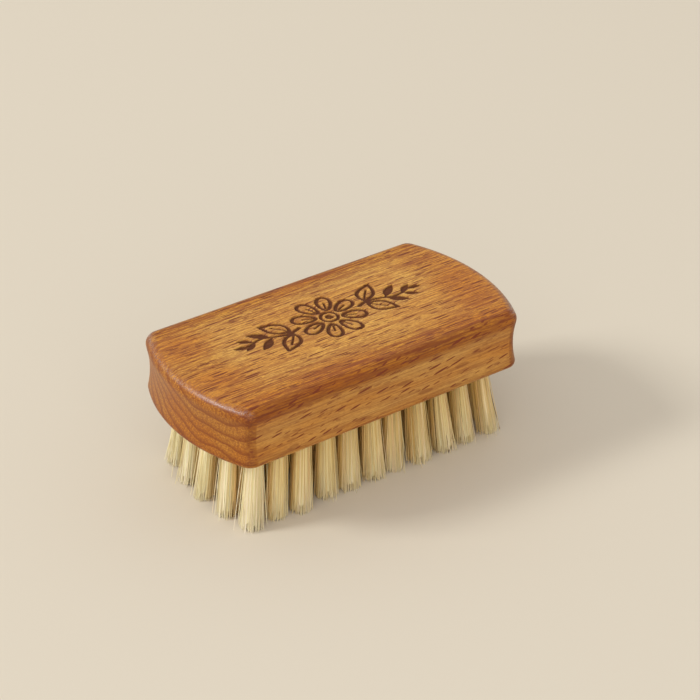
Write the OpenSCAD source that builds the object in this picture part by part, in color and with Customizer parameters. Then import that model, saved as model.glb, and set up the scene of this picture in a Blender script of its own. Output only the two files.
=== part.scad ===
// Wooden nail brush: a waisted beech block filled with tufts of natural bristle.
// The brush stands on its trimmed bristle tips, and the origin is at the middle of that plane.
// X runs along the block, Y across it and Z up, in millimetres.

/* [Block] */
// Length over the bowed ends
block_l = 70; // [64:0.5:76]
// Width over the straight sides
block_w = 35.6; // [33:0.2:40]
// Thickness from the bristle face to the top
block_h = 12.2; // [11:0.1:16]
// How far the middle of an end stands out past its corners
end_bow = 4.5; // [2:0.1:7]
// Radius of the upright corners, seen from above
corner_r = 2.8; // [2.5:0.1:4]
// Rounding of the top edge
top_r = 2; // [1:0.1:2.4]
// Rounding of the edge round the bristle face
foot_r = 0.9; // [0.4:0.1:1.5]
// Depth of the finger cove that runs round the sides
cove_d = 0.55; // [0.3:0.05:1.2]

/* [Tuft pattern] */
// Rows of tufts across the block
rows = 5; // [3:1:5]
// Tufts in each row
cols = 11; // [7:1:11]
// Distance from a long side to the middle of the outer bores
side_margin = 6.2; // [5:0.1:7]
// Distance from a bowed end to the middle of the nearest bores
end_margin = 8.2; // [6:0.1:9]
// Clearance between neighbouring tufts where their tips stand closest
tip_gap = 1.3; // [0.2:0.1:2]

/* [Bores and anchors] */
// Diameter of the blind tuft bores
bore_d = 2.9; // [2.5:0.1:4]
// Depth of the tuft bores
bore_depth = 7; // [6:0.5:8]
// Clearance round a tuft in its bore
tuft_gap = 0.05; // [0.02:0.01:0.1]
// Thickness of the flat anchor wire
wire_t = 0.35; // [0.25:0.05:0.5]
// Width of the flat anchor wire, upright in the bore
wire_w = 1.5; // [1:0.1:2]
// How far each anchor end bites into the wall of its bore
wire_bite = 0.3; // [0.2:0.05:0.5]
// Clearance round an anchor in its seat
wire_gap = 0.03; // [0.02:0.01:0.06]
// Thickness of the fold of bristle that passes over an anchor
fold_t = 1.2; // [0.8:0.1:1.6]

/* [Bristles] */
// Length of bristle that shows below the block
bristle_out = 16; // [10:0.5:22]
// Seed of the sideways wander of the locks
stray_seed = 7; // [1:1:99]

/* [Hidden] */
// Fineness of the turned and drilled faces
$fn = 64;
// Flats in each arc of the side profile
arc_steps = 6;
// Flats along a bowed end, and round a corner
end_steps = 16;
corner_steps = 7;

// Plan of the block: each end is one arc, met by the corner rounding
half_l = block_l / 2;
half_w = block_w / 2;
end_r = (half_w * half_w + end_bow * end_bow) / (2 * end_bow);
end_x = half_l - end_r;
corner_y = half_w - corner_r;
corner_x = end_x + sqrt(pow(end_r - corner_r, 2) - corner_y * corner_y);
corner_turn = atan2(corner_y, corner_x - end_x);
side_bearings = concat(
    ramp(-90, -corner_turn, corner_steps),
    ramp(-corner_turn, corner_turn, end_steps),
    ramp(corner_turn, 90, corner_steps),
    [90]
);

// Side profile: top edge, cove and lower edge are three arcs that run into each other
nose_rise = block_h - top_r - foot_r;
cove_lift = (nose_rise - 2 * cove_d * (top_r - foot_r) / nose_rise) / 2;
cove_r = (cove_lift * cove_lift + cove_d * cove_d) / (2 * cove_d) - foot_r;

// Grid of tufts: its rows follow the bowed ends, and its tips spread over a slightly wider grid
fan_share = 0.11;
outer_y = half_w - side_margin;
across_pitch = 2 * outer_y / (rows - 1);
along_pitch = 2 * row_reach(outer_y) / (cols - 1);
tip_r = ((1 + fan_share) * min(along_pitch, across_pitch) - tip_gap) / 2;

// Tufts: eight locks round one, sized as shares of the tuft where they lie
locks = 9;
lock_sides = 3;
ring_share = 0.72;
lock_share = 0.36;
core_lock_share = 0.28;
stray_share = 0.03;
knee_share = 0.45;
lap_share = 0.05;
tuft_r = bore_d / 2 - tuft_gap;
tuft_lap = lap_share * bore_depth;

// Anchors lie across the grain
anchor_l = bore_d + 2 * wire_bite;
anchor_z = bristle_out + bore_depth - tuft_gap - fold_t - wire_w;

// Overrun of a cut past the face that it opens
cut_over = 1;

function tuft_name(row, col) = str("tuft_r", row, "_c", col);

// Centre of a place in an evenly spaced line of count places from -reach to reach
function spaced(i, count, reach) = count == 1 ? 0 : reach * (2 * (i - 1) / (count - 1) - 1);

// How far the outer bore of the row at y lies from the middle
function row_reach(y) = end_x + sqrt(end_r * end_r - y * y) - end_margin;

function row_y(row) = spaced(row, rows, outer_y);

function bore_xy(row, col) = [spaced(col, cols, row_reach(row_y(row))), row_y(row)];

// Bearings from one to another in equal steps, without the last
function ramp(from, to, steps) = [for (i = [0:steps - 1]) from + (to - from) * i / steps];

// Points along an arc about c, from one bearing to another
function arc(c, r, from, to) =
    [for (a = concat(ramp(from, to, arc_steps), [to])) c + r * [cos(a), sin(a)]];

function bearing(v) = atan2(v.y, v.x);

// Point of the plan where the side faces the bearing a, from -90 to 90, set in from the rim by inset
function plan_point(a, inset) =
    abs(a) < corner_turn
        ? [end_x, 0] + (end_r - inset) * [cos(a), sin(a)]
        : [corner_x, sign(a) * corner_y] + (corner_r - inset) * [cos(a), sin(a)];

// Whole outline of the block, one end after the other
function plan(inset) = [
    for (side = [1, -1], a = side_bearings) side * plan_point(a, inset)
];

// Side profile as [how far out of the rim, height], from the bristle face up to the top
function side_profile() =
    let (
        top_nose = [-top_r, block_h - top_r],
        foot_nose = [-foot_r, foot_r],
        cove = [cove_r - cove_d, foot_r + cove_lift]
    )
    concat(
        arc(foot_nose, foot_r, -90, bearing(cove - foot_nose)),
        inner(arc(cove, cove_r, 360 + bearing(foot_nose - cove), bearing(top_nose - cove))),
        arc(top_nose, top_r, bearing(cove - top_nose), 90)
    );

// A list without its first and last places, which the arcs beside it already hold
function inner(list) = [for (i = [1:len(list) - 2]) list[i]];

// Faces of a closed skin through count rings of sides points, listed from the lowest ring up
function skin_faces(sides, count) = concat(
    [[for (i = [0:sides - 1]) i]],
    [[for (i = [sides - 1:-1:0]) (count - 1) * sides + i]],
    [for (ring = [0:count - 2], i = [0:sides - 1])
        let (a = ring * sides + i, b = ring * sides + (i + 1) % sides)
        each [[a, a + sides, b], [b, a + sides, b + sides]]]
);

// The block without its bores, from z = 0 up: its outline carried through the side profile
module block_form() {
    rings = side_profile();
    points = [for (p = rings) each [for (q = plan(-p.x)) [q.x, q.y, p.y]]];
    polyhedron(points, skin_faces(2 * len(side_bearings), len(rings)));
}

// Flat wire lying across a bore, grown by gap on every side
module anchor(gap) {
    translate([-wire_t / 2 - gap, -anchor_l / 2 - gap, anchor_z - gap])
        cube([wire_t + 2 * gap, anchor_l + 2 * gap, wire_w + 2 * gap]);
}

module block() {
    color("peru") difference() {
        translate([0, 0, bristle_out]) block_form();
        for (row = [1:rows], col = [1:cols]) translate(bore_xy(row, col)) {
            translate([0, 0, bristle_out - cut_over]) cylinder(h = bore_depth + cut_over, d = bore_d);
            anchor(wire_gap);
        }
    }
}

// Middle of a lock in a tuft of radius r
function lock_xy(lock, r) =
    let (a = 360 * lock / (locks - 1)) lock == 0 ? [0, 0] : ring_share * r * [cos(a), sin(a)];

// Corners of a lock at height z, in a tuft of radius r whose middle lies at offset
function lock_ring(lock, r, z, offset) =
    let (
        c = lock_xy(lock, r) + offset,
        lock_r = (lock == 0 ? core_lock_share : lock_share) * r,
        turn = 360 * lock / (locks - 1) + 180
    )
    [for (i = [0:lock_sides - 1]) [
        c.x + lock_r * cos(turn + 360 * i / lock_sides),
        c.y + lock_r * sin(turn + 360 * i / lock_sides),
        z
    ]];

// One lock of bristle, from its flat-trimmed tip up into the bound root of its tuft
module lock(lock, lean, tip_wander, knee_wander) {
    top_z = bristle_out + tuft_lap;
    knee_z = top_z * (1 - knee_share);
    knee_r = tuft_r + (tip_r - tuft_r) * knee_share;
    stray = stray_share * tip_r;
    rings = [
        lock_ring(lock, tip_r, 0, lean + stray * tip_wander),
        lock_ring(lock, knee_r, knee_z, lean * knee_share + stray * knee_wander),
        lock_ring(lock, tuft_r, top_z, [0, 0])
    ];
    polyhedron([for (ring = rings) each ring], skin_faces(lock_sides, len(rings)));
}

// A bundle of bristle folded over its anchor: the bound root fills the bore, the locks fan out below
module tuft(row, col) {
    root = bore_xy(row, col);
    wander = rands(-1, 1, 4 * locks, stray_seed + row * cols + col);
    shifts = [for (i = [0:2:4 * locks - 2]) [wander[i], wander[i + 1]]];
    color("wheat") translate(root) {
        difference() {
            translate([0, 0, bristle_out]) cylinder(h = bore_depth - tuft_gap, r = tuft_r);
            anchor(wire_gap);
        }
        for (i = [0:locks - 1]) lock(i, root * fan_share, shifts[i], shifts[i + locks]);
    }
}

module anchor_wires() {
    color("silver") for (row = [1:rows], col = [1:cols]) translate(bore_xy(row, col)) anchor(0);
}

block();
for (row = [1:rows], col = [1:cols])
    tuft(row, col);
anchor_wires();
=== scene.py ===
"""Looks of a wooden nail brush: an oiled beech block with an engraved flower, and tufts of bristle."""
import math

import bpy
import numpy as np
from bpy.props import FloatProperty, FloatVectorProperty, IntProperty, PointerProperty
from mathutils import Matrix, Vector
from mathutils.geometry import delaunay_2d_cdt


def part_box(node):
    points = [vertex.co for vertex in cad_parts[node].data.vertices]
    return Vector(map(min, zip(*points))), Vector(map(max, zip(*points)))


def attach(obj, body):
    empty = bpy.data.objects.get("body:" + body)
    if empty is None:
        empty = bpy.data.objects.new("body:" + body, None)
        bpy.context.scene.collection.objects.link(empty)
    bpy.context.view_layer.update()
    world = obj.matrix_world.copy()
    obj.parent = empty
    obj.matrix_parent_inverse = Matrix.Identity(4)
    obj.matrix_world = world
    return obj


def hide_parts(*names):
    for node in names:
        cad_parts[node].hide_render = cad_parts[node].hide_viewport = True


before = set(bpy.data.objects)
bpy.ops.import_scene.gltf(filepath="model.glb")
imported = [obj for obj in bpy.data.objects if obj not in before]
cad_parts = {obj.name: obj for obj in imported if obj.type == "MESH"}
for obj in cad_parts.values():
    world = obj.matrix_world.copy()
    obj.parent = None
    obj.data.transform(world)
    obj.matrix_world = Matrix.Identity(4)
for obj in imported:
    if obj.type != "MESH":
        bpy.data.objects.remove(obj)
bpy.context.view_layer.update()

bl_info = {
    "name": "Nail brush",
    "version": (1, 0, 0),
    "blender": (4, 5, 0),
    "location": "3D View > Sidebar > Nail brush",
    "description": "Builds the finish of a wooden nail brush around its fixed solids",
    "category": "Add Mesh",
}

MM = 0.001
SEED = 7


def linear(red, green, blue):
    """Linear colour of an 8-bit display colour, by the sRGB curve."""
    share = np.array([red, green, blue]) / 255
    return tuple(np.where(share <= 0.04045, share / 12.92, ((share + 0.055) / 1.055) ** 2.4))


def length_value(name, description, default):
    return FloatProperty(name=name, description=description, default=default, min=0.0, unit="LENGTH")


def shift_value(name, description, default):
    """A length that may also be below zero."""
    return FloatProperty(name=name, description=description, default=default, unit="LENGTH")


def angle_value(name, description, degrees):
    return FloatProperty(name=name, description=description, default=math.radians(degrees),
                         subtype="ANGLE")


def light_value(name, description, default):
    return FloatProperty(name=name, description=description, default=default, min=0.0)


def share_value(name, description, default):
    return FloatProperty(name=name, description=description, default=default,
                         min=0.0, max=1.0, subtype="FACTOR")


def colour_value(name, description, default):
    return FloatVectorProperty(name=name, description=description, default=default,
                               min=0.0, max=1.0, subtype="COLOR")


# Sizes and colours

class BlockSettings(bpy.types.PropertyGroup):
    end_bow: length_value("End bow", "How far the middle of an end stands out past its corners", 4.5 * MM)
    corner_radius: length_value("Corner radius", "Radius of the upright corners, seen from above", 2.8 * MM)
    top_radius: length_value("Top rounding", "Rounding of the top edge", 2 * MM)
    foot_radius: length_value("Foot rounding", "Rounding of the edge round the bristle face", 0.9 * MM)
    cove_depth: length_value("Cove depth", "Depth of the finger cove round the sides", 0.55 * MM)
    bore_diameter: length_value("Bore diameter", "Diameter of the blind tuft bores", 2.9 * MM)
    bore_depth: length_value("Bore depth", "Depth of the tuft bores", 7 * MM)
    side_margin: length_value("Side margin", "From a long side to the middle of the outer bores", 6.2 * MM)
    end_margin: length_value("End margin", "From a bowed end to the middle of the nearest bores", 8.2 * MM)
    rows: IntProperty(name="Rows", description="Rows of tufts across the block", default=5, min=2)
    columns: IntProperty(name="Columns", description="Tufts in each row", default=11, min=2)


class EngravingSettings(bpy.types.PropertyGroup):
    line_width: length_value("Line width", "Width of an engraved line", 0.76 * MM)
    depth: length_value("Depth", "Depth of the engraving", 0.3 * MM)
    reach: length_value("Reach", "From the middle of the flower to the end of a sprig", 21 * MM)
    middle: FloatVectorProperty(name="Middle", description="Middle of the flower on the top",
                                default=(0.5 * MM, 1.8 * MM), size=2, unit="LENGTH")
    burnt: colour_value("Burnt colour", "Colour of the burnt grooves", linear(90, 44, 15))


class BeechSettings(bpy.types.PropertyGroup):
    pale: colour_value("Pale wood", "Colour between the growth rings", linear(234, 184, 91))
    warm: colour_value("Warm wood", "Colour of the broad warmer bands", linear(225, 157, 58))
    ring: colour_value("Ring", "Colour of the growth rings", linear(152, 82, 26))
    # Partly burnish, partly painted shade: the wider band along the near side and the roll under the top edge
    # stand in for shade there
    edge: colour_value("Edge", "Tint towards the edges of the top, which are burnished", linear(231, 200, 90))
    # Partly oil, partly painted shade: the roll under the top edge turns downwards, and this tint darkens it
    # together with the foot and the corners
    rim: colour_value("Rim", "Tint of the rolled edge, where the oil gathers", linear(214, 189, 118))
    end_grain: colour_value("End grain", "Tint of the ends, which soak up more oil", linear(216, 197, 162))
    # Painted shade: this tint darkens the long sides, which face away from the key lamp; their wood is the
    # same as the top's
    painted_side_shade: colour_value("Side grain", "Tint of the long sides", linear(221, 209, 212))
    fleck: colour_value("Fleck", "Colour of the thin ray flecks", linear(112, 44, 8))
    side_fleck: colour_value("Side fleck", "Colour of the thick ray flecks on the sides", linear(118, 46, 8))
    ring_spacing: length_value("Ring spacing", "Distance between growth rings", 2.4 * MM)
    pith_side: shift_value("Pith to the side", "Where the middle of the growth rings lies, along Y", -14 * MM)
    pith_height: length_value("Pith height", "Height of the middle of the growth rings", 56 * MM)
    roughness: share_value("Roughness", "Roughness of the oiled surface", 0.42)
    gloss: share_value("Gloss", "How strongly the wood reflects", 0.3)
    sheen: share_value("Oil film", "Weight of the thin glossy film of oil", 0.2)


class BristleSettings(bpy.types.PropertyGroup):
    count: IntProperty(name="Bristles", description="Bristles that show in each tuft", default=340, min=10)
    thickness: length_value("Thickness", "Thickness of one bristle", 0.155 * MM)
    tip_width: length_value("Tip width", "Width of a tuft across its tips", 4.1 * MM)
    fan: share_value("Fan", "How much wider the grid of tips is than the grid of bores", 0.11)
    sway: length_value("Sway", "How far the tips of a tuft lie from their even grid", 0.33 * MM)
    uneven: length_value("Uneven tips", "How much shorter some bristles are cut", 0.9 * MM)
    turn: angle_value("Turn", "Bearing of one edge of a bristle's three", 234)
    stray: share_value("Strays", "Share of bristles that stand away from their tuft", 0.22)
    dark: share_value("Dark bristles", "Share of dark bristles", 0.006)
    cream: colour_value("Cream", "Colour of most bristles", linear(241, 243, 212))
    straw: colour_value("Straw", "Colour of the yellower bristles", linear(235, 231, 182))
    # Painted shade: the warm shade deep among the bristles and towards their roots; also the hue of the faint
    # mottle
    amber: colour_value("Amber", "Tint of the roots of the bristles", linear(218, 162, 86))
    # Painted light: the warm light that has come through bristle onto sides that face other tufts; also the
    # tint of the sheen
    glow: colour_value("Glow", "Tint of sheltered bristles, and of the sheen", linear(252, 168, 66))
    white: colour_value("White", "Colour of the palest bristles", linear(253, 249, 230))
    brown: colour_value("Brown", "Colour of the dark bristles", linear(74, 54, 36))


class StageSettings(bpy.types.PropertyGroup):
    floor: colour_value("Floor", "Colour of the floor", linear(224, 214, 197))
    azimuth: angle_value("Azimuth", "Camera's turn about the upright axis", -35.56)
    elevation: angle_value("Elevation", "Camera's height above the horizon", 31.55)
    distance: length_value("Distance", "From the camera to the bristle face", 451.4 * MM)
    slide_right: shift_value("Slide right", "Camera's shift to its right", 3.235 * MM)
    slide_up: shift_value("Slide up", "Camera's shift upwards in its view", 4.976 * MM)
    focal: FloatProperty(name="Focal length", description="Focal length in millimetres on a 36 mm sensor",
                         default=121.7, min=1.0)
    key: light_value("Key light", "Brightness of a white wall that faces the key lamp", 0.47)
    fill: light_value("Fill light", "Brightness of a white wall that faces the fill lamp", 0.42)
    sky: light_value("Room light", "Strength of the light from all round", 0.65)


# Mesh tools

def make_piece(name, points, faces, attributes=(), smooth_angle=None, smooth=True):
    """A mesh object from whole arrays: points is (n, 3), and faces a list of (m, k) index arrays."""
    mesh = bpy.data.meshes.new(name)
    corners = np.concatenate([f.ravel() for f in faces])
    sizes = np.concatenate([np.full(len(f), f.shape[1]) for f in faces])
    mesh.vertices.add(len(points))
    mesh.vertices.foreach_set("co", points.astype(np.float32).ravel())
    mesh.loops.add(len(corners))
    mesh.loops.foreach_set("vertex_index", corners.astype(np.int32))
    mesh.polygons.add(len(sizes))
    mesh.polygons.foreach_set("loop_start", np.concatenate([[0], np.cumsum(sizes)[:-1]]).astype(np.int32))
    mesh.polygons.foreach_set("use_smooth", np.full(len(sizes), smooth))
    mesh.update(calc_edges=True)
    for label, kind, values in attributes:
        layer = mesh.attributes.new(label, kind, "POINT")
        layer.data.foreach_set("value" if kind == "FLOAT" else "color", values.astype(np.float32).ravel())
    if smooth_angle is not None:
        mesh.set_sharp_from_angle(angle=smooth_angle)
    piece = bpy.data.objects.new(name, mesh)
    bpy.context.scene.collection.objects.link(piece)
    return piece


def grid_quads(rows, cols, wrap=False):
    """Quads of a grid of rows by cols points, numbered by rows; wrap joins its last column to the first."""
    i, j = np.meshgrid(np.arange(rows - 1), np.arange(cols if wrap else cols - 1), indexing="ij")
    k = (j + 1) % cols
    return np.stack([i * cols + j, i * cols + k, (i + 1) * cols + k, (i + 1) * cols + j], -1).reshape(-1, 4)


def smooth_step(values):
    """3t2 - 2t3 of the values held between 0 and 1."""
    t = np.clip(values, 0, 1)
    return t * t * (3 - 2 * t)


def circle(turn):
    """(cos, sin) of the turn, as the last axis."""
    return np.stack([np.cos(turn), np.sin(turn)], -1)


def graded(reach, fine_reach, fine, coarse):
    """Places from -reach to reach, fine apart within fine_reach of the middle and coarse apart beyond."""
    middle = np.linspace(-fine_reach, fine_reach, 2 * round(fine_reach / fine) + 1)
    outer = np.linspace(fine_reach, reach, max(2, round((reach - fine_reach) / coarse) + 1))[1:]
    return np.concatenate([-outer[::-1], middle, outer])


# Shader tools

# Places of the colour sockets on a Mix node, which has a set of sockets for each kind of data
MIX_FACTOR, MIX_FIRST, MIX_SECOND, MIX_RESULT = 0, 6, 7, 2


class Wire:
    """An output socket that takes part in Python expressions; each operator adds a Math node."""

    def __init__(self, shader, socket):
        self.shader = shader
        self.socket = socket

    def __add__(self, other):
        return self.shader.math("ADD", self, other)

    def __mul__(self, other):
        return self.shader.math("MULTIPLY", self, other)

    def __sub__(self, other):
        return self.shader.math("SUBTRACT", self, other)

    def __rsub__(self, other):
        return self.shader.math("SUBTRACT", other, self)

    def __truediv__(self, other):
        return self.shader.math("DIVIDE", self, other)

    def __pow__(self, other):
        return self.shader.math("POWER", self, other)

    __radd__ = __add__
    __rmul__ = __mul__

    def over(self, low, high):
        """0 below low, 1 above high, and a smooth rise between them."""
        return self.shader.add("ShaderNodeMapRange", {"interpolation_type": "SMOOTHSTEP"},
                               {"Value": self, "From Min": low, "From Max": high})


class Shader:
    """The node tree of one material, round one Principled shader."""

    def __init__(self, name):
        self.material = bpy.data.materials.new(name)
        self.material.use_nodes = True
        self.tree = self.material.node_tree
        self.surface = self.tree.nodes["Principled BSDF"]

    def add(self, kind, settings=None, inputs=None, output=0):
        """Adds a node with its settings, then the values or links of its sockets, and gives one output."""
        node = self.tree.nodes.new(kind)
        for label, value in (settings or {}).items():
            setattr(node, label, value)
        for label, value in (inputs or {}).items():
            self.feed(node.inputs[label], value)
        return Wire(self, node.outputs[output])

    def feed(self, socket, value):
        if isinstance(value, Wire):
            self.tree.links.new(value.socket, socket)
        elif socket.type == "RGBA":
            socket.default_value = (*value[:3], 1.0)
        else:
            socket.default_value = value

    def math(self, operation, *values):
        return self.add("ShaderNodeMath", {"operation": operation}, dict(enumerate(values)))

    def finish(self, **inputs):
        """Feeds the Principled shader; an underscore in a name stands for a space."""
        for label, value in inputs.items():
            self.feed(self.surface.inputs[label.replace("_", " ")], value)
        return self.material

    def place(self):
        """Object coordinates, in millimetres."""
        object_place = self.add("ShaderNodeTexCoord", output="Object")
        return self.scaled(object_place, (1 / MM, 1 / MM, 1 / MM))

    def scaled(self, vector, scale):
        return self.add("ShaderNodeVectorMath", {"operation": "MULTIPLY"}, {0: vector, 1: scale})

    def axes(self, vector):
        """The x, y and z of a vector."""
        node = self.add("ShaderNodeSeparateXYZ", None, {0: vector}).socket.node
        return [Wire(self, output) for output in node.outputs]

    def noise(self, vector, detail=2.0, roughness=0.5):
        """Noise of unit scale at the vector."""
        return self.add("ShaderNodeTexNoise", None,
                        {"Vector": vector, "Scale": 1.0, "Detail": detail, "Roughness": roughness})

    def attribute(self, name, output="Fac"):
        return self.add("ShaderNodeAttribute", {"attribute_name": name}, None, output)

    def blend(self, share, first, second, mode="MIX"):
        """Colour first, turned to second by share."""
        settings = {"data_type": "RGBA", "blend_type": mode}
        inputs = {MIX_FACTOR: share, MIX_FIRST: first, MIX_SECOND: second}
        return self.add("ShaderNodeMix", settings, inputs, MIX_RESULT)

    def bump(self, height, distance, strength):
        inputs = {"Height": height, "Distance": distance, "Strength": strength}
        return self.add("ShaderNodeBump", None, inputs)


# Beech block

class Plan:
    """Plan of the block: bowed ends, each one arc, with rounded corners and straight sides."""

    def __init__(self, settings):
        low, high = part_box("block")
        half_length, half_width = high.x, high.y
        bow = settings.end_bow
        self.face, self.top = low.z, high.z
        self.corner_r = settings.corner_radius
        self.end_r = (half_width ** 2 + bow ** 2) / (2 * bow)
        self.end_x = half_length - self.end_r
        self.corner_y = half_width - self.corner_r
        self.corner_x = self.end_x + math.sqrt((self.end_r - self.corner_r) ** 2 - self.corner_y ** 2)
        self.turn = math.atan2(self.corner_y, self.corner_x - self.end_x)
        self.half_width = half_width

    def end_point(self, bearing, inset):
        """Where the end faces that bearing: on the end's arc or on a corner's, set in by inset."""
        on_end = np.abs(bearing) < self.turn
        centre_x = np.where(on_end, self.end_x, self.corner_x)
        centre_y = np.where(on_end, 0, np.sign(bearing) * self.corner_y)
        radius = np.where(on_end, self.end_r, self.corner_r) - inset
        return centre_x + radius * np.cos(bearing), centre_y + radius * np.sin(bearing)

    def row_reach(self, y, end_margin):
        """How far from the middle the outer bore of the row at y lies."""
        return self.end_x + np.sqrt(self.end_r ** 2 - y ** 2) - end_margin


def bore_centres(settings):
    """Centres of the bores as (rows, columns, 2): even rows, each as long as the bowed ends allow."""
    plan = Plan(settings)
    y = np.linspace(-1, 1, settings.rows) * (plan.half_width - settings.side_margin)
    share = np.linspace(-1, 1, settings.columns)
    x = plan.row_reach(y, settings.end_margin)[:, None] * share[None, :]
    return np.stack([x, np.broadcast_to(y[:, None], x.shape)], -1)


def side_profile(settings, height):
    """(outset from the rim, height) down the side: arcs over the top edge, in the cove and under the foot."""
    top_r, foot_r, depth = settings.top_radius, settings.foot_radius, settings.cove_depth
    rise = height - top_r - foot_r
    lift = (rise - 2 * depth * (top_r - foot_r) / rise) / 2
    cove_r = (lift ** 2 + depth ** 2) / (2 * depth) - foot_r
    top = np.array([-top_r, height - top_r])
    foot = np.array([-foot_r, foot_r])
    cove = np.array([cove_r - depth, foot_r + lift])

    def arc(centre, radius, start, stop, count):
        return centre + radius * circle(np.linspace(start, stop, count))

    def bearing(vector):
        return math.atan2(vector[1], vector[0])

    over = arc(top, top_r, math.pi / 2, bearing(cove - top), 11)
    hollow = arc(cove, cove_r, bearing(top - cove), bearing(foot - cove) + 2 * math.pi, 10)
    under = arc(foot, foot_r, bearing(cove - foot), -math.pi / 2, 7)
    return np.concatenate([over, hollow[1:], under[1:]])


# Engraving

STROKE_STEP = 0.06 * MM
VEIN_SHARE = 0.6


def stroke(points, width):
    """A stroke: its points spread evenly along it, and its half width at each."""
    points = np.asarray(points, float)
    steps = np.linalg.norm(np.diff(points, axis=0), axis=1)
    travel = np.concatenate([[0], np.cumsum(steps)])
    even = np.linspace(0, travel[-1], max(2, int(travel[-1] / STROKE_STEP)))
    x, y = (np.interp(even, travel, points[:, axis]) for axis in (0, 1))
    widths = np.broadcast_to(np.asarray(width, float), len(points))
    return np.stack([x, y], -1), np.interp(even, travel, widths) / 2


def leaf_strokes(base, bearing, length, line, solid):
    """A pointed leaf on a short stalk, along a rib that bends by the square of the way along it. Its half
    width goes by sin(pi t^0.85). It is burnt all over if solid, and otherwise an outline with a rib."""
    t = np.linspace(0, 1, 40)
    half = (0.2 if solid else 0.27) * length * np.sin(math.pi * t ** 0.85)
    along, across = circle(bearing), circle(bearing + math.pi / 2)
    bend = 0.14 * length * t[:, None] ** 2 * across * np.sign(bearing)
    rib = base + length * (0.12 + t[:, None]) * along - bend
    stalk = stroke([base, rib[0]], line * VEIN_SHARE)
    if solid:
        return [stalk, stroke(rib, 2 * half)]
    edges = [stroke(rib + side * half[:, None] * across, line) for side in (1, -1)]
    inner_rib = rib[:round(0.65 * len(rib))]
    return [stalk, *edges, stroke(inner_rib, line * VEIN_SHARE)]


def flower_strokes(reach, line):
    """A daisy: eight petals, each an outline with a short vein, round a ring and a solid dot. An outline
    runs out and back by a cosine, and its half width goes by a sine that grows outwards."""
    petal_start, petal_length, core = 0.125 * reach, 0.22 * reach, 0.08 * reach
    t = np.linspace(0, 1, 50)
    outward = (1 - np.cos(2 * math.pi * t)) / 2
    along = petal_start + petal_length * outward
    across = 0.062 * reach * np.sin(2 * math.pi * t) * (0.75 + 0.5 * outward)
    vein = petal_start + petal_length * np.linspace(0.15, 0.55, 8)
    strokes = []
    for bearing in np.arange(8) * math.pi / 4 + math.pi / 8:
        ahead, aside = circle(bearing), circle(bearing + math.pi / 2)
        strokes.append(stroke(along[:, None] * ahead + across[:, None] * aside, line))
        strokes.append(stroke(vein[:, None] * ahead, line * VEIN_SHARE))
    ring = core * circle(np.linspace(0, 2 * math.pi, 40))
    return [*strokes, stroke(ring, line * 0.9), stroke(0.25 * ring, core * 0.5)]


def sprig_strokes(reach, line):
    """A sprig that leaves the flower along +X: a stem on one wave of a sine, which thins as it goes, with
    three pairs of leaves and a leaf at its end."""
    first, last = 0.33 * reach, 0.86 * reach
    t = np.linspace(0, 1, 60)
    stem = np.stack([first + (last - first) * t, 0.035 * reach * np.sin(2 * math.pi * t)], -1)
    strokes = [stroke(stem, line * (1.1 - 0.4 * t))]
    # Each pair's place along the stem, size, angle to the stem in degrees, and whether it is solid
    pairs = ((0.16, 0.28, 56, False), (0.54, 0.21, 46, True), (0.86, 0.15, 40, True))
    for share, size, turn, solid in pairs:
        for side in (1, -1):
            base = stem[round(share * (len(stem) - 1))]
            strokes += leaf_strokes(base, side * math.radians(turn), size * reach, line, solid)
    almost_ahead = 1e-3
    return strokes + leaf_strokes(stem[-1], almost_ahead, 0.14 * reach, line, True)


def motif_strokes(settings):
    """A flower with a leafy sprig on each side, the second the first turned half round."""
    reach, line, middle = settings.reach, settings.line_width, np.array(settings.middle)
    sprig = sprig_strokes(reach, line)
    turned = [(-points, widths) for points, widths in sprig]
    motif = flower_strokes(reach, line) + sprig + turned
    return [(points + middle, widths) for points, widths in motif]


def engraving_share(points, settings):
    """1 inside a stroke and 0 outside, with a soft wall, by the least of distance less half width."""
    wall, margin = 0.16 * MM, 1 * MM
    depth = np.full(len(points), wall)
    for path, half in motif_strokes(settings):
        near = np.all((points > path.min(0) - margin) & (points < path.max(0) + margin), axis=1)
        away = np.linalg.norm(points[near][:, None] - path[None], axis=2) - half[None]
        depth[near] = np.minimum(depth[near], away.min(1, initial=wall))
    return smooth_step(0.5 - depth / wall)


# Skin of the block

MARKS = ("burn", "side", "end", "rim", "edge")


def bristle_face(outline, centres, radius, sides=24):
    """Triangles of the flat face between its outline and the bore mouths, both of which stay as edges."""
    ring = radius * circle(np.linspace(0, 2 * math.pi, sides, endpoint=False))
    mouths = (centres[:, None] + ring[None]).reshape(-1, 2)
    points = np.concatenate([outline, mouths])
    border = np.arange(len(outline))
    around = len(outline) + np.arange(len(mouths)).reshape(-1, sides)
    mouth_edges = np.stack([around, np.roll(around, -1, 1)], -1).reshape(-1, 2)
    edges = np.concatenate([np.stack([border, np.roll(border, -1)], -1), mouth_edges])
    flat = [Vector(p) for p in points / MM]
    keep_outside, merge_distance = 0, 1e-5
    found = delaunay_2d_cdt(flat, edges.tolist(), [], keep_outside, merge_distance)
    made, _, triangles, origins, _, _ = found
    if len(made) != len(points):
        raise RuntimeError("the bristle face's points were merged")
    triangles = np.array([where[0] for where in origins])[np.array(triangles)]
    bore = np.where(triangles < len(outline), -1 - triangles, (triangles - len(outline)) // sides)
    in_bore = (bore[:, 0] == bore[:, 1]) & (bore[:, 1] == bore[:, 2])
    triangles = triangles[~in_bore]
    a, b, c = (points[triangles[:, k]] for k in range(3))
    upward = (b - a)[:, 0] * (c - a)[:, 1] - (b - a)[:, 1] * (c - a)[:, 0] > 0
    triangles[upward] = triangles[upward][:, ::-1]
    return mouths, triangles


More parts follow.
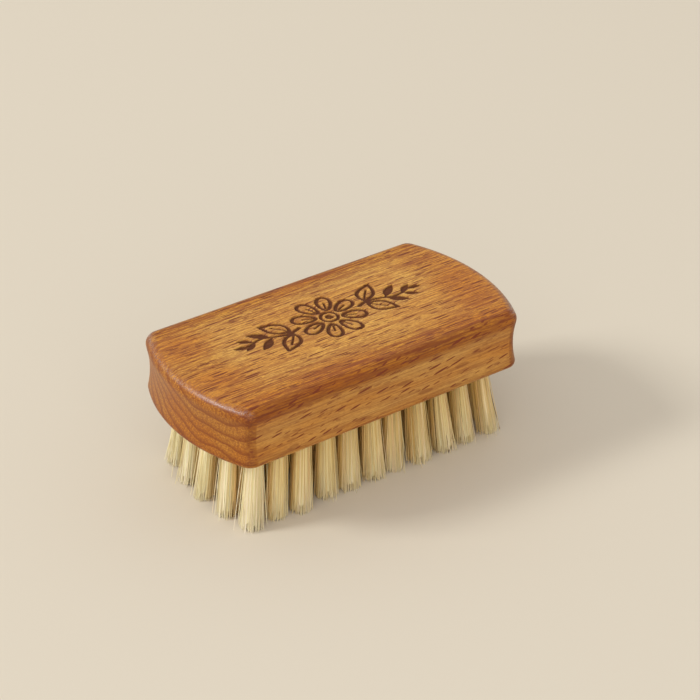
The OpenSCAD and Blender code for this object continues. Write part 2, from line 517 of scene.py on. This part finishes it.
def top_edge_mark(end_x, row_y, share):
    """How burnished the top is, partly painted shade: in a soft band inside each end, and fading in from the
    long sides, furthest from the near side, where the painted shade stands in for light falling off.
    """
    band_at, band_half, front, back = 4.5 * MM, 6.5 * MM, 7.5 * MM, 6.5 * MM
    from_end = np.minimum(share - share[0], share[-1] - share)[None] * end_x[:, None]
    near_end = 0.6 * smooth_step(1.2 - np.abs(from_end - band_at) / band_half)
    near_front = smooth_step(1 - (row_y - row_y[0]) / front)
    near_back = smooth_step(1 - (row_y[-1] - row_y) / back)
    return np.maximum(near_end, np.maximum(near_front, near_back)[:, None])


def side_marks(plan, settings, profile, outward):
    """The marks of the side, ring by ring. Side and end say how far it faces a long side or an end, and
    are less where the profile isn't upright. Rim marks the roll under the top edge, the foot and the
    corners, and edge marks the roll alone. The rim and edge tints they carry are partly oil and burnish
    and partly painted shade on the roll, which turns downwards."""
    top_r = settings.top_radius
    slope = np.gradient(profile, axis=0)
    upright = -slope[:, 1] / np.linalg.norm(slope, axis=1)
    sideways = np.abs(outward[:, 1])
    past_end = sideways / math.sin(plan.turn)
    long_side = smooth_step(past_end - 0.5)
    at_corner = np.where(sideways < 1, smooth_step(past_end - 1), 0)
    drop = plan.top - plan.face - profile[:, 1]
    roll = smooth_step((drop + 0.5 * top_r) / (0.9 * top_r))
    roll *= smooth_step((1.8 * top_r - drop) / (0.9 * top_r))
    foot = 0.75 * smooth_step(1.4 - profile[:, 1] / (1.8 * settings.foot_radius))
    marks = np.zeros((len(profile), len(outward), len(MARKS)))
    marks[..., MARKS.index("side")] = upright[:, None] * sideways
    marks[..., MARKS.index("end")] = upright[:, None] * np.abs(outward[:, 0])
    rolled = np.maximum(roll[:, None] * long_side[None], foot[:, None])
    marks[..., MARKS.index("rim")] = np.maximum(rolled, at_corner[None])
    marks[..., MARKS.index("edge")] = roll[:, None] * (0.5 + 0.5 * long_side[None])
    return marks


def block_mesh(settings, engraving):
    """The block as one closed skin. The top is a grid whose rows end on the bowed ends, lowered by the
    engraving. The side carries the top's border down the side profile along its outward directions. The
    bristle face is flat, and each bore is a tube with a flat end. Both grids are fine where the engraving
    lies and coarse beyond it."""
    plan = Plan(settings)
    top_r = settings.top_radius
    arc_reach = (plan.end_r - top_r) * math.sin(plan.turn)
    arc = np.arcsin(graded(arc_reach, 10 * MM, 0.15 * MM, 0.4 * MM) / (plan.end_r - top_r))
    corner = np.linspace(plan.turn, math.pi / 2, 10)[1:]
    bearing = np.concatenate([-corner[::-1], arc, corner])
    end_x, row_y = plan.end_point(bearing, top_r)
    share = graded(1, *(size / end_x.max() for size in (22.5 * MM, 0.16 * MM, 0.45 * MM)))
    rows, cols = len(bearing), len(share)
    top = np.empty((rows, cols, 3))
    top[..., 0] = end_x[:, None] * share[None]
    top[..., 1] = row_y[:, None]
    burn = engraving_share(top[..., :2].reshape(-1, 2), engraving)
    top[..., 2] = plan.top - engraving.depth * burn.reshape(rows, cols)

    number = np.arange(rows * cols).reshape(rows, cols)
    border = np.concatenate([number[:, -1], number[-1, -2:0:-1], number[::-1, 0], number[0, 1:-1]])
    outward = np.zeros((rows, cols, 2))
    outward[0, :, 1], outward[-1, :, 1] = -1, 1
    for column, sign in ((-1, 1), (0, -1)):
        outward[:, column] = np.stack([sign * np.cos(bearing), np.sin(bearing)], -1)
    outward = outward.reshape(-1, 2)[border]
    rim = top.reshape(-1, 3)[border][:, :2] + top_r * outward

    profile = side_profile(settings, plan.top - plan.face)[1:]
    around = len(border)
    side = np.empty((len(profile), around, 3))
    side[..., :2] = rim[None] + profile[:, 0][:, None, None] * outward[None]
    side[..., 2] = plan.face + profile[:, 1][:, None]
    side_start = rows * cols
    rings = side_start + np.arange(len(profile) * around).reshape(-1, around)
    ladder = np.concatenate([border[None], rings])
    side_quads = ladder.ravel()[grid_quads(len(ladder), around, wrap=True)][:, ::-1]

    centres = bore_centres(settings).reshape(-1, 2)
    mouths, face = bristle_face(side[-1, :, :2], centres, settings.bore_diameter / 2)
    mouth_start = side_start + len(profile) * around
    face = np.where(face < around, ladder[-1][face % around], mouth_start + face - around)
    bores = np.empty((2, len(mouths), 3))
    bores[..., :2] = mouths[None]
    bores[..., 2] = plan.face + np.array([[0], [settings.bore_depth]])
    lower = mouth_start + np.arange(len(mouths)).reshape(len(centres), -1)
    upper = lower + len(mouths)
    walls = np.stack([lower, upper, np.roll(upper, -1, 1), np.roll(lower, -1, 1)], -1).reshape(-1, 4)

    points = np.concatenate([top.reshape(-1, 3), side.reshape(-1, 3), bores.reshape(-1, 3)])
    marks = np.zeros((len(points), len(MARKS)))
    marks[:side_start, MARKS.index("burn")] = burn
    marks[:side_start, MARKS.index("edge")] = top_edge_mark(end_x, row_y, share).ravel()
    marks[side_start:mouth_start] = side_marks(plan, settings, profile, outward).reshape(-1, len(MARKS))
    layers = [(label, "FLOAT", marks[:, place]) for place, label in enumerate(MARKS)]
    return points, [grid_quads(rows, cols), side_quads, face, walls, upper[:, ::-1]], layers


# Finish of the block

def fleck_share(shader, place, cell, half):
    """1 in the middle of spindle-shaped flecks. Space is cut into random cells of about the given size, and
    each holds one ellipsoid with the given half sizes, at its own scale; the share falls by the distance
    from its middle."""
    inside = shader.scaled(place, [1 / size for size in cell])
    point = shader.add("ShaderNodeTexVoronoi", None, {"Vector": inside, "Scale": 1.0}, "Position")
    tone = shader.axes(Wire(shader, point.socket.node.outputs["Color"]))[0]
    away = shader.add("ShaderNodeVectorMath", {"operation": "SUBTRACT"}, {0: inside, 1: point})
    away = shader.scaled(away, [size / reach for size, reach in zip(cell, half)])
    distance = shader.add("ShaderNodeVectorMath", {"operation": "LENGTH"}, {0: away}, "Value")
    return 1 - (distance / (tone * 0.6 + 0.5)).over(0.72, 1.0)


def ray_flecks(shader, place, side, end, rim):
    """Shares of the thin dark flecks, long and short, and of the thick ones on the long sides, which lean
    from the grain by 0.2 radians and run out in dashes on the rim."""
    flipped = shader.scaled(place, (1.0, 1.0, -1.0))
    tilted = shader.add("ShaderNodeVectorRotate", {"rotation_type": "Y_AXIS"},
                        {"Vector": place, "Angle": 0.2})
    tilted_back = shader.scaled(tilted, (1.0, -1.0, 1.0))
    long = fleck_share(shader, place, (4.5, 1.08, 1.2), (1.95, 0.19, 0.5))
    short = fleck_share(shader, flipped, (3.0, 1.0, 1.0), (1.1, 0.17, 0.4))
    thin = shader.math("MAXIMUM", long, short * 0.8) * (1 - end) * (1 - side * 0.6)
    large = fleck_share(shader, tilted, (5.6, 1.8, 1.9), (1.9, 0.86, 0.25))
    small = fleck_share(shader, tilted_back, (3.2, 1.5, 1.4), (1.0, 0.7, 0.17))
    thick = shader.math("MAXIMUM", large, small * 0.7) * (side + rim * 0.5) * (1 - end * 1.4)
    dash = shader.noise(shader.scaled(place, (0.24, 3.0, 3.0)), 1.0).over(0.53, 0.6)
    return thin, thick + dash * rim * (1 - side * 0.7) * 0.85


def beech_material(look, engraving):
    """Oiled beech: growth rings about a pith above the block, broad warm bands, fine streaks and pores along
    the grain, ray flecks, a tint of the ends, painted shade on the long sides, tints of the edges and rolled
    rims that are partly burnish and oil and partly painted shade, and burnt grooves."""
    shader = Shader("oiled_beech")
    place = shader.place()
    x, y, z = shader.axes(place)
    side, end, rim, edge = (shader.attribute(name) for name in ("side", "end", "rim", "edge"))
    burn = shader.attribute("burn")

    def grain(scale, detail, roughness=0.5):
        return shader.noise(shader.scaled(place, scale), detail, roughness)

    sway = grain((0.03, 0.05, 0.05), 1.0) - 0.5
    across = y + sway * 5.0 - look.pith_side / MM
    above = z + sway * 4.0 - look.pith_height / MM
    radius = (across * across + above * above) ** 0.5
    uneven = grain((0.004, 0.12, 0.12), 1.0)
    cycle = shader.math("FRACT", radius / (look.ring_spacing / MM) + uneven * 1.5)
    ring = cycle.over(0.2, 0.9) * (1 - cycle.over(0.9, 1.0))
    near_end = shader.math("ABSOLUTE", x).over(19.0, 34.0)
    broad = grain((0.035, 0.12, 0.2), 3.0)
    streak = grain((0.06, 2.3, 2.3), 3.0, 0.7)
    fine = grain((0.3, 3.4, 3.4), 2.0, 0.6)
    band = grain((0.05, 1.0, 1.0), 2.0, 0.6)
    pore = grain((1.5, 5.5, 5.5), 1.0)
    thin, thick = ray_flecks(shader, place, side, end, rim)

    wood = shader.blend(broad.over(0.36, 0.64) * 0.7 + near_end * 0.5, look.pale, look.warm)
    darker = (
        ring * ring * (end * 0.72 + 0.12),
        streak.over(0.475, 0.575) * (edge * 0.3 - side * 0.2 + 0.6),
        fine.over(0.465, 0.555) * (edge * 0.15 - side * 0.26 + 0.46),
        pore.over(0.46, 0.62) * (0.4 - side * 0.2 + end * 0.15),
    )
    for share in darker:
        wood = shader.blend(share, wood, look.ring)
    tints = (
        (end, look.end_grain),
        # painted shade on the long sides
        (side, look.painted_side_shade),
        # the edge tint: burnish, and painted shade on the roll and towards the near side
        (edge * (1 - end * 0.9) * (broad * 0.7 + 0.6), look.edge),
        # the rim tint: oil, and painted shade on the roll under the top edge
        (rim * (broad * 0.3 + band.over(0.42, 0.58) * 0.4 + 0.25), look.rim),
    )
    for share, tint in tints:
        wood = shader.blend(share, wood, shader.blend(1.0, wood, tint, "MULTIPLY"))
    wood = shader.blend(thin, wood, look.fleck)
    wood = shader.blend(thick * 1.1, wood, look.side_fleck)
    char = burn * (grain((1.6, 4.0, 4.0), 2.0) * 0.35 + 0.8)
    wood = shader.blend(char, wood, engraving.burnt)

    crest = end * edge * z.over(27.1, 27.75) * pore.over(0.4, 0.6)
    polish = fine.over(0.35, 0.6) * 0.7 + crest * 32.0 + 0.06
    height = streak * 0.25 + 1.0 - thin * 0.6 - fine * (end * 0.8 + 0.25)
    return shader.finish(
        Base_Color=wood,
        Roughness=look.roughness + thin * 0.1 + burn * 0.3,
        Specular_IOR_Level=look.gloss,
        Coat_Weight=look.sheen * (1 - burn) * polish,
        Coat_Roughness=0.44,
        Normal=shader.bump(height, 0.03 * MM, 0.6),
    )


class NAILBRUSH_OT_block(bpy.types.Operator):
    """Makes the beech block with its engraved flower and its bores."""

    bl_idname = "nailbrush.block"
    bl_label = "Beech block"

    def execute(self, context):
        scene = context.scene
        points, faces, marks = block_mesh(scene.brush_block, scene.brush_engraving)
        block = make_piece("beech_block", points, faces, marks, math.radians(40))
        block.data.materials.append(beech_material(scene.brush_beech, scene.brush_engraving))
        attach(block, "root")
        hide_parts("block")
        return {"FINISHED"}


# Bristles

TUBE_LEVELS, TUBE_SIDES = 7, 3
CORE_LEVELS, FLUTES = 9, 60
CORE_FALL = 0.97
FAN_POWER = 1.12
GOLDEN_ANGLE = 2.39996
CUT_HEIGHT = 0.01 * MM
BORE_CLEARANCE = 0.1 * MM
# Depth of the painted amber shade at the roots of most tufts, and the shallower one of the first column,
# which faces the key lamp
ROOT_SHADE_DEPTH, KEY_LIT_SHADE_DEPTH = 0.38, 0.15
# Direction in which one dark bristle leans out of the tuft at a corner
OUTLIER_LEAN = np.array([0.92, -0.39])


def bristle_colours(look, rng):
    """A colour for each bristle, then for each flute: from cream to straw, some white, each a little lighter
    or darker, and some a quarter darker. A few bristles are brown."""
    cream, straw, white, brown = (np.array(c) for c in (look.cream, look.straw, look.white, look.brown))
    share = rng.random(look.count + FLUTES)[:, None]
    colour = cream + (straw - cream) * share ** 1.3
    colour = np.where(rng.random(share.shape) < 0.2, white, colour) * rng.uniform(0.93, 1.02, share.shape)
    colour *= 1 - 0.25 * (rng.random(share.shape) < 0.1)
    is_brown = rng.random((look.count, 1)) < look.dark
    colour[:look.count] = np.where(is_brown, brown, colour[:look.count])
    return colour


def bristle_tubes(look, start, stop, bow, cut, top, rng):
    """Three-sided tubes from start at the top to stop at the cut. A path fans out by a power of the way
    along it and bows sideways by a sine, and its tube thins by a quarter at the tip."""
    count, size = len(start), TUBE_LEVELS * TUBE_SIDES
    t = np.linspace(0, 1, TUBE_LEVELS)
    middle = np.empty((count, TUBE_LEVELS, 3))
    fan = (stop - start)[:, None] * t[None, :, None] ** FAN_POWER
    middle[..., :2] = start[:, None] + fan + bow[:, None] * np.sin(math.pi * t)[None, :, None]
    middle[..., 2] = top + (cut - top)[:, None] * t[None]
    thick = look.thickness / 2 * rng.uniform(0.8, 1.15, count)
    radius = thick[:, None] * (1 - 0.25 * t[None] ** 4)
    corner = np.arange(TUBE_SIDES)[None] * 2 * math.pi / TUBE_SIDES
    spin = look.turn + rng.normal(0, 0.15, count)[:, None] + corner
    ring = np.stack([np.cos(spin), np.sin(spin), np.zeros_like(spin)], -1)
    points = (middle[:, :, None] + radius[:, :, None, None] * ring[:, None]).reshape(-1, 3)
    first = np.arange(count)[:, None, None] * size
    quads = grid_quads(TUBE_LEVELS, TUBE_SIDES, wrap=True)[:, ::-1]
    caps = np.array([[0, 1, 2], [size - 1, size - 2, size - 3]])
    return points, (first + quads).reshape(-1, 4), (first + caps).reshape(-1, 3)


def tuft_core(root, lean, root_radius, tip_radius, top, rng):
    """The fluted core: a ring of flutes that leans and widens as the bristles do, draws in by a tenth near
    the tips, and is closed at both ends by a fan of triangles."""
    fall = np.linspace(0, CORE_FALL, CORE_LEVELS)
    reach = rng.uniform(0.87, 0.95, FLUTES)
    wide = root_radius + (tip_radius - root_radius) * fall ** FAN_POWER
    wide *= 1 - 0.1 * smooth_step((fall - 0.75) / 0.22)
    axis = root + lean * fall[:, None]
    core = np.empty((CORE_LEVELS, FLUTES, 3))
    core[..., :2] = axis[:, None] + (wide[:, None] * reach)[..., None] * circle(flute_bearings())
    core[..., 2] = top * (1 - fall[:, None] * rng.uniform(0.93, 1, FLUTES))
    ends = np.array([[*axis[0], top], [*axis[-1], top * (1 - CORE_FALL)]])
    shell = grid_quads(CORE_LEVELS, FLUTES, wrap=True)[:, ::-1]
    number = np.arange(FLUTES)
    after = np.roll(number, -1)
    hub = CORE_LEVELS * FLUTES
    last = hub - FLUTES
    lid = np.stack([number, after, np.full(FLUTES, hub)], -1)
    base = np.stack([last + after, last + number, np.full(FLUTES, hub + 1)], -1)
    return np.concatenate([core.reshape(-1, 3), ends]), shell, np.concatenate([lid, base])


def flute_bearings():
    return np.arange(FLUTES) * 2 * math.pi / FLUTES


def each_point(of_bristles, of_flutes, of_core_ends):
    """Values of the bristles, the flutes and the core's ends, repeated for each of their points."""
    return np.concatenate([np.repeat(of_bristles, TUBE_LEVELS * TUBE_SIDES, axis=0),
                           np.tile(of_flutes, (CORE_LEVELS, 1)), of_core_ends])


def light_through(look, colour, direction, along, open_sides, depth):
    """The colour with painted light and shade, as if lit through bristle. On an open side it takes the amber,
    a painted shade, raised to a depth that fades towards the tip. Where it faces other tufts it takes the
    glow instead, painted light that has come through bristle, up to a share of 0.3. Towards the tip all
    colours also grow paler, painted light from the floor."""
    facing = (direction @ np.array(open_sides).reshape(-1, 2).T).max(1, initial=-1)
    # share of painted light through bristle where a bristle faces other tufts
    painted_glow_share = 0.3 * smooth_step((0.6 - facing) / 0.8)[:, None]
    amber_shade_depth = depth * (1 - 0.75 * along ** 2) * (1 - painted_glow_share)
    glow_depth = painted_glow_share * (1 - 0.4 * along)
    passed = np.array(look.amber) ** amber_shade_depth * np.array(look.glow) ** glow_depth
    # Painted light from the floor: the colours grow paler towards the tips
    return colour ** (1 - 0.25 * along ** 2) * passed


def tuft_mesh(look, root, root_radius, top, rng, outlier, open_sides, depth):
    """A fluted core, wrapped in bristles. The bristles start in a sunflower disc in the bore and end in the
    same disc, wider and leaning outwards, each wandered a little and some astray. The bristle furthest
    towards the outlier direction, where one is given, is dark and leans out. The open sides are the
    directions in which no other tuft stands."""
    count = look.count
    tip_radius = look.tip_width / 2 * rng.uniform(0.9, 1.12)
    lean = root * look.fan + rng.normal(0, look.sway, 2)
    order = (np.arange(count) + 0.5) / count
    disc = (order ** 0.42)[:, None] * circle(np.arange(count) * GOLDEN_ANGLE + rng.uniform(0, 2 * math.pi))
    start = root + (root_radius - look.thickness / 2) * disc
    stop = root + lean + tip_radius * disc + rng.normal(0, 0.16 * MM, (count, 2))
    astray = rng.random(count) < look.stray
    drift = rng.normal(0, 0.5 * MM, (count, 2))
    wild = (order > 0.8) * (rng.random(count) < 0.25)
    drift *= (astray * (1 + 0.8 * wild))[:, None]
    bow = rng.normal(0, 0.07 * MM, (count, 2)) + 0.35 * drift * rng.choice([-1, 1], (count, 1))
    cut = look.uneven * rng.random(count) ** 2.2 + CUT_HEIGHT
    colour = bristle_colours(look, rng)
    if outlier is not None:
        picked = np.argmax(disc @ outlier)
        drift[picked] = 0.5 * MM * outlier
        cut[picked] = CUT_HEIGHT
        colour[picked] = np.array(look.brown) * 0.5

    tubes, tube_sides, tube_caps = bristle_tubes(look, start, stop + drift, bow, cut, top, rng)
    core, shell, core_caps = tuft_core(root, lean, root_radius, tip_radius, top, rng)
    points = np.concatenate([tubes, core])
    faces = [np.concatenate([tube_sides, len(tubes) + shell]),
             np.concatenate([tube_caps, len(tubes) + core_caps])]

    colour = each_point(colour[:count], colour[count:], colour[:2])
    direction = each_point(disc, circle(flute_bearings()), np.zeros((2, 2)))
    down_tube = np.tile(np.repeat(np.linspace(0, 1, TUBE_LEVELS), TUBE_SIDES), count)
    down_core = np.repeat(np.linspace(0, CORE_FALL, CORE_LEVELS), FLUTES)
    along = np.concatenate([down_tube, down_core, [0, CORE_FALL]])[:, None]
    colour = light_through(look, colour, direction, along, open_sides, depth)
    return points, faces, np.concatenate([colour, np.ones((len(colour), 1))], -1)


def bristle_material(look):
    """Natural bristle: its tint, which is its own colour with painted light and shade, with faint lengthwise
    mottle and a warm sheen at its edges.
    """
    shader = Shader("natural_bristle")
    mottle = shader.noise(shader.scaled(shader.place(), (6.0, 6.0, 0.7)), 2.0)
    tint = shader.attribute("tint", "Color")
    colour = shader.blend((mottle - 0.45) * 0.3, tint, shader.blend(1.0, tint, look.amber, "MULTIPLY"))
    return shader.finish(
        Base_Color=colour,
        Roughness=mottle * 0.2 + 0.4,
        Specular_IOR_Level=0.35,
        Sheen_Weight=0.5,
        Sheen_Tint=look.glow,
    )


class NAILBRUSH_OT_tufts(bpy.types.Operator):
    """Makes the tufts of bristle, one piece for each bore."""

    bl_idname = "nailbrush.tufts"
    bl_label = "Bristle tufts"

    def execute(self, context):
        block, look = context.scene.brush_block, context.scene.brush_bristle
        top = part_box("tuft_r1_c1")[1].z - BORE_CLEARANCE
        root_radius = block.bore_diameter / 2 - BORE_CLEARANCE
        material = bristle_material(look)
        rng = np.random.default_rng(SEED)
        for row, line in enumerate(bore_centres(block), 1):
            for column, root in enumerate(line, 1):
                node = f"tuft_r{row}_c{column}"
                outlier = OUTLIER_LEAN if (row, column) == (1, block.columns) else None
                # Painted shade: the first column, lit by the key lamp, gets less amber
                depth = KEY_LIT_SHADE_DEPTH if column == 1 else ROOT_SHADE_DEPTH
                borders = {(0, -1): row == 1, (0, 1): row == block.rows,
                           (-1, 0): column == 1, (1, 0): column == block.columns}
                open_sides = [side for side, is_border in borders.items() if is_border]
                points, faces, tint = tuft_mesh(look, root, root_radius, top, rng, outlier, open_sides, depth)
                marks = [("tint", "FLOAT_COLOR", tint)]
                tuft = make_piece(f"bristles_r{row}_c{column}", points, faces, marks, smooth=False)
                tuft.data.materials.append(material)
                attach(tuft, "root")
                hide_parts(node)
        return {"FINISHED"}


# Anchors

class NAILBRUSH_OT_anchors(bpy.types.Operator):
    """Gives the flat wire anchors inside the block their drawn steel."""

    bl_idname = "nailbrush.anchors"
    bl_label = "Wire anchors"

    def execute(self, context):
        shader = Shader("drawn_steel")
        drawn = shader.noise(shader.scaled(shader.place(), (14.0, 0.8, 14.0)), 3.0)
        colour = shader.blend(drawn, linear(150, 150, 152), linear(196, 196, 198))
        material = shader.finish(Base_Color=colour, Metallic=1.0, Roughness=drawn * 0.25 + 0.25)
        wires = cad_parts["anchor_wires"]
        wires.data.materials.clear()
        wires.data.materials.append(material)
        return {"FINISHED"}


# Stage

FLOOR_REACH = 3.0
SENSOR_WIDTH = 36.0


def soft_box(name, direction, distance, size, level, colour):
    """A square area lamp that lights a white wall facing it, at the middle of the object, to the level. Its
    power is level x distance squared x pi squared, because a lamp sends out power / pi straight ahead."""
    lamp = bpy.data.lights.new(name, "AREA")
    lamp.shape, lamp.size, lamp.color = "SQUARE", size, colour
    lamp.energy = level * (math.pi * distance) ** 2
    holder = bpy.data.objects.new(name, lamp)
    bpy.context.scene.collection.objects.link(holder)
    away = Vector(direction).normalized()
    facing = away.to_track_quat("Z", "Y").to_matrix().to_4x4()
    holder.matrix_world = Matrix.Translation(away * distance) @ facing


class NAILBRUSH_OT_stage(bpy.types.Operator):
    """Makes the plain floor, the soft light and the camera."""

    bl_idname = "nailbrush.stage"
    bl_label = "Stage"

    def execute(self, context):
        scene, stage = context.scene, context.scene.brush_stage
        corners = FLOOR_REACH * np.array([[-1, -1, 0], [1, -1, 0], [1, 1, 0], [-1, 1, 0]])
        floor = make_piece("floor", corners, [np.array([[0, 1, 2, 3]])])
        shader = Shader("pale_floor")
        cloudy = shader.noise(shader.scaled(shader.place(), (0.004, 0.004, 0.004)), 2.0)
        colour = shader.blend(cloudy * 0.3, stage.floor, linear(228, 219, 203))
        matt = shader.finish(Base_Color=colour, Roughness=0.9, Specular_IOR_Level=0.1)
        floor.data.materials.append(matt)

        turn, lift = stage.azimuth, stage.elevation
        back = Vector((math.sin(turn) * math.cos(lift), -math.cos(turn) * math.cos(lift), math.sin(lift)))
        right = Vector((math.cos(turn), math.sin(turn), 0))
        up = back.cross(right)
        aim = Vector((0, 0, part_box("block")[0].z))
        eye = aim + stage.distance * back + stage.slide_right * right + stage.slide_up * up
        camera = bpy.data.objects.new("camera", bpy.data.cameras.new("camera"))
        scene.collection.objects.link(camera)
        camera.matrix_world = Matrix.Translation(eye) @ Matrix((right, up, back)).transposed().to_4x4()
        camera.data.sensor_width, camera.data.lens = SENSOR_WIDTH, stage.focal
        camera.data.clip_start, camera.data.clip_end = 0.01, 20.0
        scene.camera = camera

        soft_box("key", (-0.74, 0.36, 0.57), distance=2.7, size=0.66, level=stage.key,
                 colour=(0.97, 0.98, 0.95))
        soft_box("fill", (-0.5, -0.81, 0.3), distance=2.6, size=2.8, level=stage.fill,
                 colour=(1.0, 0.99, 0.98))
        world = bpy.data.worlds.new("room")
        world.use_nodes = True
        background = world.node_tree.nodes["Background"]
        background.inputs["Color"].default_value = (1.0, 0.97, 0.93, 1.0)
        background.inputs["Strength"].default_value = stage.sky
        scene.world = world
        scene.view_settings.view_transform = "Standard"
        return {"FINISHED"}


# Panel and registration

class NAILBRUSH_PT_panel(bpy.types.Panel):
    """Lists the sizes, the colours and the pieces of the brush."""

    bl_idname = "NAILBRUSH_PT_panel"
    bl_label = "Nail brush"
    bl_space_type = "VIEW_3D"
    bl_region_type = "UI"
    bl_category = "Nail brush"

    def draw(self, context):
        for name in SETTINGS:
            box = self.layout.box()
            group = getattr(context.scene, name)
            for label in group.__annotations__:
                box.prop(group, label)
        for operator in OPERATORS:
            self.layout.operator(operator.bl_idname)


SETTINGS = {
    "brush_block": BlockSettings,
    "brush_engraving": EngravingSettings,
    "brush_beech": BeechSettings,
    "brush_bristle": BristleSettings,
    "brush_stage": StageSettings,
}
OPERATORS = (NAILBRUSH_OT_block, NAILBRUSH_OT_tufts, NAILBRUSH_OT_anchors, NAILBRUSH_OT_stage)
CLASSES = (*SETTINGS.values(), *OPERATORS, NAILBRUSH_PT_panel)


def register():
    for item in CLASSES:
        bpy.utils.register_class(item)
    for name, group in SETTINGS.items():
        setattr(bpy.types.Scene, name, PointerProperty(type=group))


def unregister():
    for name in SETTINGS:
        delattr(bpy.types.Scene, name)
    for item in reversed(CLASSES):
        bpy.utils.unregister_class(item)


def main():
    register()
    bpy.ops.nailbrush.block()
    bpy.ops.nailbrush.tufts()
    bpy.ops.nailbrush.anchors()
    bpy.ops.nailbrush.stage()


if __name__ == "__main__":
    main()
